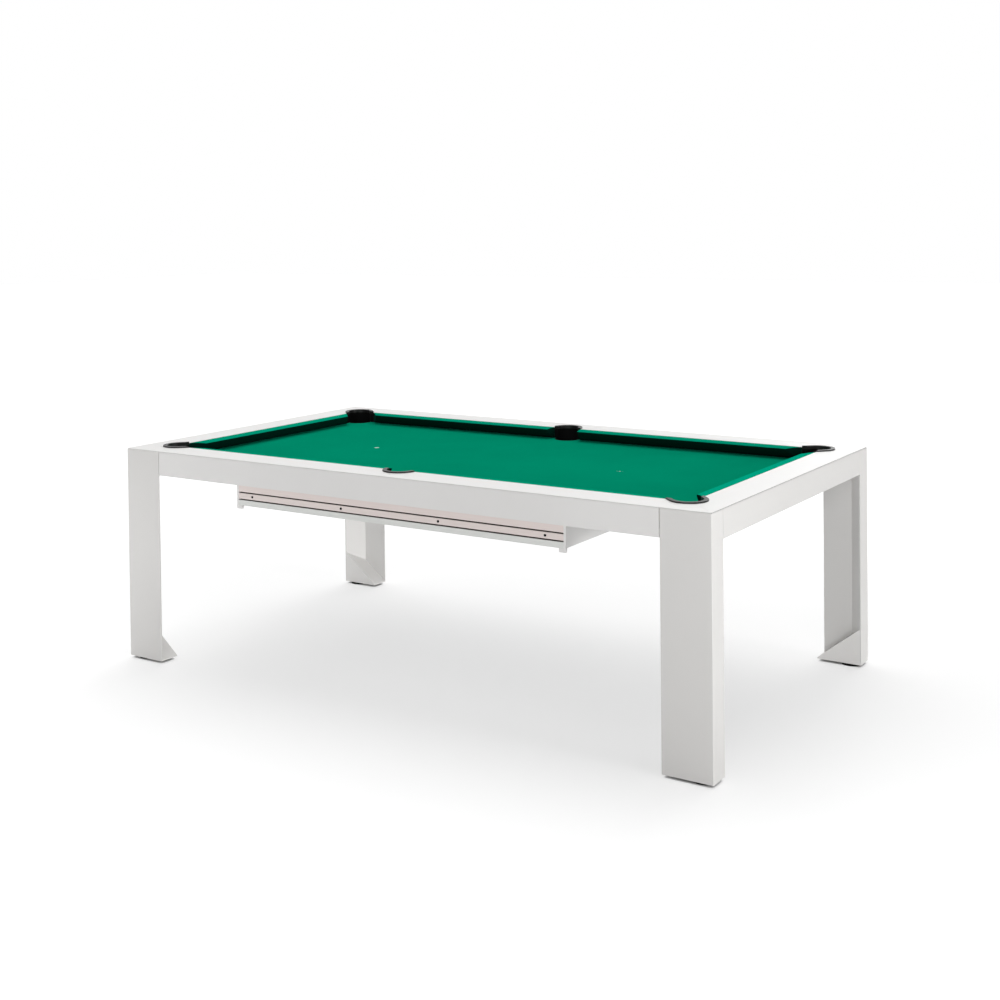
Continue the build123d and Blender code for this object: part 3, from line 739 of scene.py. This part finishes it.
# ---------------------------------------------------------------- drawer liner
def make_liner():
    """The felt laid in the drawer, with soft edges and a few shallow ripples."""
    low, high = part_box("drawer_liner")
    size_x = high[0] - low[0]
    size_y = high[1] - low[1]
    columns, rows = LINER_COLUMNS, LINER_ROWS
    verts = []
    for j in range(rows + 1):
        for i in range(columns + 1):
            u, v = i / columns, j / rows
            edge = min(u * columns, (1 - u) * columns, v * rows, (1 - v) * rows)
            ripple = LINER_RIPPLE * math.sin(9 * u + 2.5 * v) * math.sin(3.1 * v + 1.7 * u)
            ripple *= min(1.0, edge / 3)
            height = high[2] - LINER_SINK + ripple
            verts.append((low[0] + size_x * u, low[1] + size_y * v, height))
    faces = []
    for j in range(rows):
        for i in range(columns):
            a = j * (columns + 1) + i
            faces.append((a, a + 1, a + columns + 2, a + columns + 1))
    mesh = bpy.data.meshes.new("drawer_liner_felt")
    mesh.from_pydata(verts, [], faces)
    smooth(mesh)
    liner = new_object("drawer_liner_felt", mesh, [felt_material], "drawer")
    thicken(liner, LINER_THICKNESS)
    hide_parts("drawer_liner")


# ---------------------------------------------------------------- floor, light and camera
def grey(level):
    """A grey as a socket takes it."""
    return (level, level, level, 1)


def add_node(tree, kind, inputs=None, operation=None):
    """A node of the floor or the world, with some of its inputs set."""
    made = tree.nodes.new(kind)
    if operation:
        made.operation = operation
    for key, value in (inputs or {}).items():
        made.inputs[key].default_value = value
    return made


def join(tree, *pairs):
    """Links (output, input) pairs."""
    for source, target in pairs:
        tree.links.new(source, target)


def make_floor():
    """A wide pale floor, white where it is seen in the light, that keeps the table's shadow.

    The seen white is dimmed around the table as a painted shadow, and taken away where a foot
    touches the floor as a painted contact shadow.
    """
    bpy.ops.mesh.primitive_grid_add(
        x_subdivisions=8, y_subdivisions=8, size=60, location=(0, 0, 0))
    floor = bpy.context.object
    floor.name = "floor"
    material = bpy.data.materials.new("floor_white")
    material.use_nodes = True
    tree = material.node_tree
    tree.nodes.clear()
    out = add_node(tree, "ShaderNodeOutputMaterial")
    diffuse = add_node(tree, "ShaderNodeBsdfDiffuse", {"Color": grey(FLOOR_LEVEL)})
    shaded = add_node(tree, "ShaderNodeBsdfDiffuse", {"Color": grey(FLOOR_SEEN_LEVEL)})
    white = add_node(tree, "ShaderNodeEmission", {"Color": grey(1)})
    nearby = add_node(tree, "ShaderNodeAmbientOcclusion", {"Distance": FLOOR_CONTACT})
    # Painted contact shadow where something stands close over the floor.
    contact_shadow = add_node(tree, "ShaderNodeMapRange", {"From Min": 0.10, "From Max": 0.50})
    place = add_node(tree, "ShaderNodeTexCoord")
    spread = add_node(tree, "ShaderNodeMapping", {
        "Location": (-0.17, -0.26, 0),
        "Scale": (0.49, 1.0, 1.0),
    })
    away = add_node(tree, "ShaderNodeVectorMath", operation="DOT_PRODUCT")
    # Painted shadow: the seen white is weaker near the table.
    shadow_fade = add_node(tree, "ShaderNodeMapRange", {
        "From Max": 4.0,
        "To Min": FLOOR_GLOW[0],
        "To Max": FLOOR_GLOW[1],
    })
    strength = add_node(tree, "ShaderNodeMath", operation="MULTIPLY")
    seen = add_node(tree, "ShaderNodeAddShader")
    rays = add_node(tree, "ShaderNodeLightPath")
    choose = add_node(tree, "ShaderNodeMixShader")
    join(
        tree,
        (place.outputs["Object"], spread.inputs["Vector"]),
        (spread.outputs["Vector"], away.inputs[0]),
        (spread.outputs["Vector"], away.inputs[1]),
        (away.outputs["Value"], shadow_fade.inputs["Value"]),
        (nearby.outputs["AO"], contact_shadow.inputs["Value"]),
        (shadow_fade.outputs["Result"], strength.inputs[0]),
        (contact_shadow.outputs["Result"], strength.inputs[1]),
        (strength.outputs["Value"], white.inputs["Strength"]),
        (shaded.outputs["BSDF"], seen.inputs[0]),
        (white.outputs["Emission"], seen.inputs[1]),
        (rays.outputs["Is Camera Ray"], choose.inputs["Fac"]),
        (diffuse.outputs["BSDF"], choose.inputs[1]),
        (seen.outputs["Shader"], choose.inputs[2]),
        (choose.outputs["Shader"], out.inputs["Surface"]),
    )
    floor.data.materials.append(material)


def make_world():
    """Even soft light from all round, and plain white where it is seen or mirrored."""
    world = bpy.data.worlds.new("studio")
    scene.world = world
    world.use_nodes = True
    tree = world.node_tree
    tree.nodes.clear()
    out = add_node(tree, "ShaderNodeOutputWorld")
    light = add_node(
        tree, "ShaderNodeBackground", {"Color": grey(1), "Strength": WORLD_STRENGTH})
    white = add_node(tree, "ShaderNodeBackground", {"Color": grey(1), "Strength": 1.0})
    rays = add_node(tree, "ShaderNodeLightPath")
    seen = add_node(tree, "ShaderNodeMath", operation="MAXIMUM")
    mirrored = add_node(tree, "ShaderNodeMath", operation="MAXIMUM")
    choose = add_node(tree, "ShaderNodeMixShader")
    join(
        tree,
        (rays.outputs["Is Camera Ray"], seen.inputs[0]),
        (rays.outputs["Is Glossy Ray"], seen.inputs[1]),
        (seen.outputs["Value"], mirrored.inputs[0]),
        (rays.outputs["Is Transmission Ray"], mirrored.inputs[1]),
        (mirrored.outputs["Value"], choose.inputs["Fac"]),
        (light.outputs["Background"], choose.inputs[1]),
        (white.outputs["Background"], choose.inputs[2]),
        (choose.outputs["Shader"], out.inputs["Surface"]),
    )


def hang_lamp(name, data, place, heading):
    """Puts a lamp at a place, shining along a heading."""
    lamp = bpy.data.objects.new(name, data)
    scene.collection.objects.link(lamp)
    lamp.location = place
    lamp.visible_camera = False
    lamp.rotation_mode = "QUATERNION"
    lamp.rotation_quaternion = Vector(heading).to_track_quat("-Z", "Y")


def make_lamps():
    """Broad soft lamps: overhead from behind, low ones from three sides, and two softboxes."""
    for name, energy, spread, heading in SUNS:
        sun = bpy.data.lights.new(name, "SUN")
        sun.energy = energy
        sun.angle = math.radians(spread)
        hang_lamp(name, sun, (0, 0, 4), heading)
    for name, energy, side, place, heading in SOFTBOXES:
        box = bpy.data.lights.new(name, "AREA")
        box.size = side
        box.energy = energy
        hang_lamp(name, box, place, heading)


def make_camera():
    """A camera at the photograph's place, with the frame shifted down."""
    azimuth, pitch, roll = (math.radians(angle) for angle in CAMERA_ANGLES)
    ahead = Vector((
        -math.sin(azimuth) * math.cos(pitch),
        math.cos(azimuth) * math.cos(pitch),
        -math.sin(pitch),
    ))
    right = Vector((math.cos(azimuth), math.sin(azimuth), 0))
    up = right.cross(ahead)
    right, up = (
        right * math.cos(roll) + up * math.sin(roll),
        up * math.cos(roll) - right * math.sin(roll),
    )
    data = bpy.data.cameras.new("camera")
    data.sensor_width = 36
    data.lens = CAMERA_LENS
    data.shift_y = CAMERA_SHIFT
    data.clip_end = 200
    camera = bpy.data.objects.new("camera", data)
    scene.collection.objects.link(camera)
    turned = Matrix((right, up, -ahead)).transposed().to_4x4()
    camera.matrix_world = Matrix.Translation(CAMERA_PLACE) @ turned
    scene.camera = camera


make_bed_cloth()
make_cushions()
make_liner()
make_floor()
make_world()
make_lamps()
make_camera()

scene.view_settings.view_transform = "Standard"
